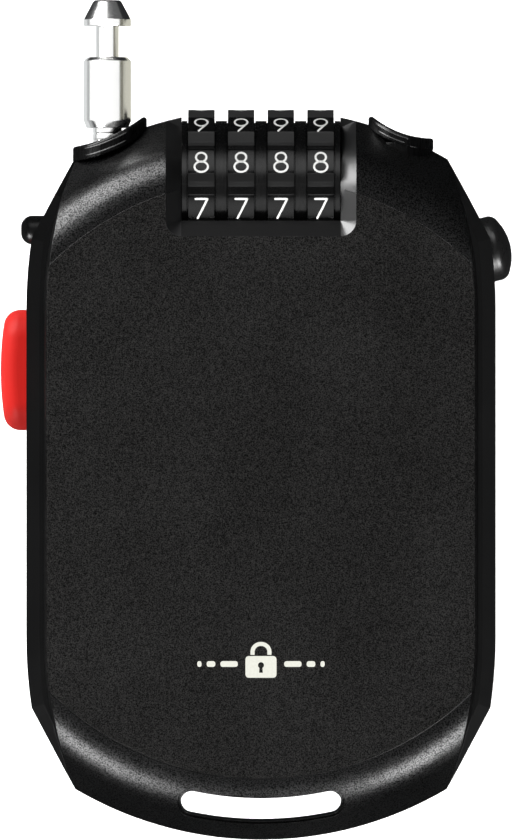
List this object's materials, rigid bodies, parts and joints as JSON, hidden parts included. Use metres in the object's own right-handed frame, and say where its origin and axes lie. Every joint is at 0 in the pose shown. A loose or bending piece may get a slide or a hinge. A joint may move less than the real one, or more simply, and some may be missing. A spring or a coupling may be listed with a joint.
{
  "type": "cable luggage lock",
  "caption": "Combination lock for luggage with number dials in a window, a plug on a steel cable wound on a sprung reel inside, a socket, a rewind button and a release knob.",
  "frame": {"origin": "on the flat rear face, on the axis of the cable reel, which is the middle of the case's round ends", "axes": "+Z out of the front face (the lock lies on its rear face), +Y towards the dials and the plug, +X to the right seen from the front"},
  "size_m": [0.0707, 0.1163, 0.022],
  "materials": {
    "case": "moulded ABS, fine satin grain",
    "panel": "moulded ABS, spark-eroded satin grain",
    "rail": "moulded ABS, smooth satin",
    "cage": "moulded ABS, polished",
    "dial": "moulded POM, smooth, with printed white numbers",
    "zinc": "die-cast zinc, as cast",
    "sheet_steel": "zinc-plated steel",
    "knob": "moulded ABS, polished",
    "spring_steel": "spring steel",
    "nylon": "natural nylon",
    "lip": "moulded POM",
    "chrome": "polished chrome plating on steel",
    "cable": "stranded steel in a clear vinyl coat",
    "red_button": "moulded ABS, polished",
    "shoe_rubber": "moulded rubber",
    "screw_steel": "black oxide steel"
  },
  "bodies": {
    "case": {"front_shell": "case", "rear_shell": "case", "front_panel": "panel", "rear_panel": "panel", "left_rail": "rail", "right_rail": "rail", "dial_cage": "cage", "detent_spring": "spring_steel", "socket_cup": "nylon", "cable_mouth": "lip", "socket_mouth": "lip", "reel_post": "sheet_steel", "brake_pin": "sheet_steel", "brake_spring": "spring_steel", "chassis_plate": "sheet_steel", "latch_spring": "spring_steel", "reset_spring": "spring_steel", "rewind_spring": "spring_steel", "case_screws": "screw_steel"},
    "release": {"release_button": "knob", "latch_plate": "sheet_steel", "lock_spindle": "zinc"},
    "reset": {"reset_button": "knob", "reset_slider": "sheet_steel"},
    "rewind": {"rewind_button": "red_button"},
    "brake": {"brake_lever": "sheet_steel", "brake_shoe": "shoe_rubber"},
    "plug_and_lead": {"plug": "chrome", "plug_ferrule": "chrome", "cable_lead": "cable"},
    "reel": {"reel_drum": "nylon", "reel_cover": "nylon", "cable_winding": "cable", "power_spring": "spring_steel"},
    "number_1": {"dial_1": "dial"},
    "code_1": {"code_sleeve_1": "zinc"},
    "number_2": {"dial_2": "dial"},
    "code_2": {"code_sleeve_2": "zinc"},
    "number_3": {"dial_3": "dial"},
    "code_3": {"code_sleeve_3": "zinc"},
    "number_4": {"dial_4": "dial"},
    "code_4": {"code_sleeve_4": "zinc"}
  },
  "joints": [
    {"name": "plug_pull", "type": "slide", "parent": "case", "child": "plug_and_lead", "axis": [0, 1, 0], "range_m": [0, 0.044]},
    {"name": "reel_turn", "type": "hinge", "parent": "case", "child": "reel", "pos_m": [0, 0, 0.011], "axis": [0, 0, 1], "range_deg": [-119, 0]},
    {"name": "release_press", "type": "slide", "parent": "case", "child": "release", "axis": [-1, 0, 0], "range_m": [0, 0.0019], "stiffness_N_per_m": 1000, "springref_m": -0.001, "deforming": ["latch_spring"]},
    {"name": "reset_press", "type": "slide", "parent": "case", "child": "reset", "axis": [1, 0, 0], "range_m": [0, 0.0015], "stiffness_N_per_m": 1000, "springref_m": -0.001, "deforming": ["reset_spring"]},
    {"name": "rewind_press", "type": "slide", "parent": "case", "child": "rewind", "axis": [1, 0, 0], "range_m": [0, 0.0015], "stiffness_N_per_m": 1000, "springref_m": -0.001, "deforming": ["rewind_spring"]},
    {"name": "brake_swing", "type": "hinge", "parent": "case", "child": "brake", "pos_m": [-0.0243, 0.014, 0.011], "axis": [0, 0, -1], "range_deg": [0, 13.3]},
    {"name": "dial_1_turn", "type": "hinge", "parent": "case", "child": "number_1", "pos_m": [0, 0.0402, 0.011], "axis": [1, 0, 0], "continuous": true},
    {"name": "sleeve_1_shift", "type": "slide", "parent": "number_1", "child": "code_1", "axis": [1, 0, 0], "range_m": [0, 0.0015]},
    {"name": "dial_2_turn", "type": "hinge", "parent": "case", "child": "number_2", "pos_m": [0, 0.0402, 0.011], "axis": [1, 0, 0], "continuous": true},
    {"name": "sleeve_2_shift", "type": "slide", "parent": "number_2", "child": "code_2", "axis": [1, 0, 0], "range_m": [0, 0.0015]},
    {"name": "dial_3_turn", "type": "hinge", "parent": "case", "child": "number_3", "pos_m": [0, 0.0402, 0.011], "axis": [1, 0, 0], "continuous": true},
    {"name": "sleeve_3_shift", "type": "slide", "parent": "number_3", "child": "code_3", "axis": [1, 0, 0], "range_m": [0, 0.0015]},
    {"name": "dial_4_turn", "type": "hinge", "parent": "case", "child": "number_4", "pos_m": [0, 0.0402, 0.011], "axis": [1, 0, 0], "continuous": true},
    {"name": "sleeve_4_shift", "type": "slide", "parent": "number_4", "child": "code_4", "axis": [1, 0, 0], "range_m": [0, 0.0015]}
  ],
  "couplings": [
    {"joint": "reel_turn", "follows": "plug_pull", "rad_per_m": -46.948},
    {"joint": "brake_swing", "follows": "rewind_press", "rad_per_m": 153.85},
    {"joint": "sleeve_1_shift", "follows": "reset_press", "ratio": 1},
    {"joint": "sleeve_2_shift", "follows": "reset_press", "ratio": 1},
    {"joint": "sleeve_3_shift", "follows": "reset_press", "ratio": 1},
    {"joint": "sleeve_4_shift", "follows": "reset_press", "ratio": 1}
  ]
}
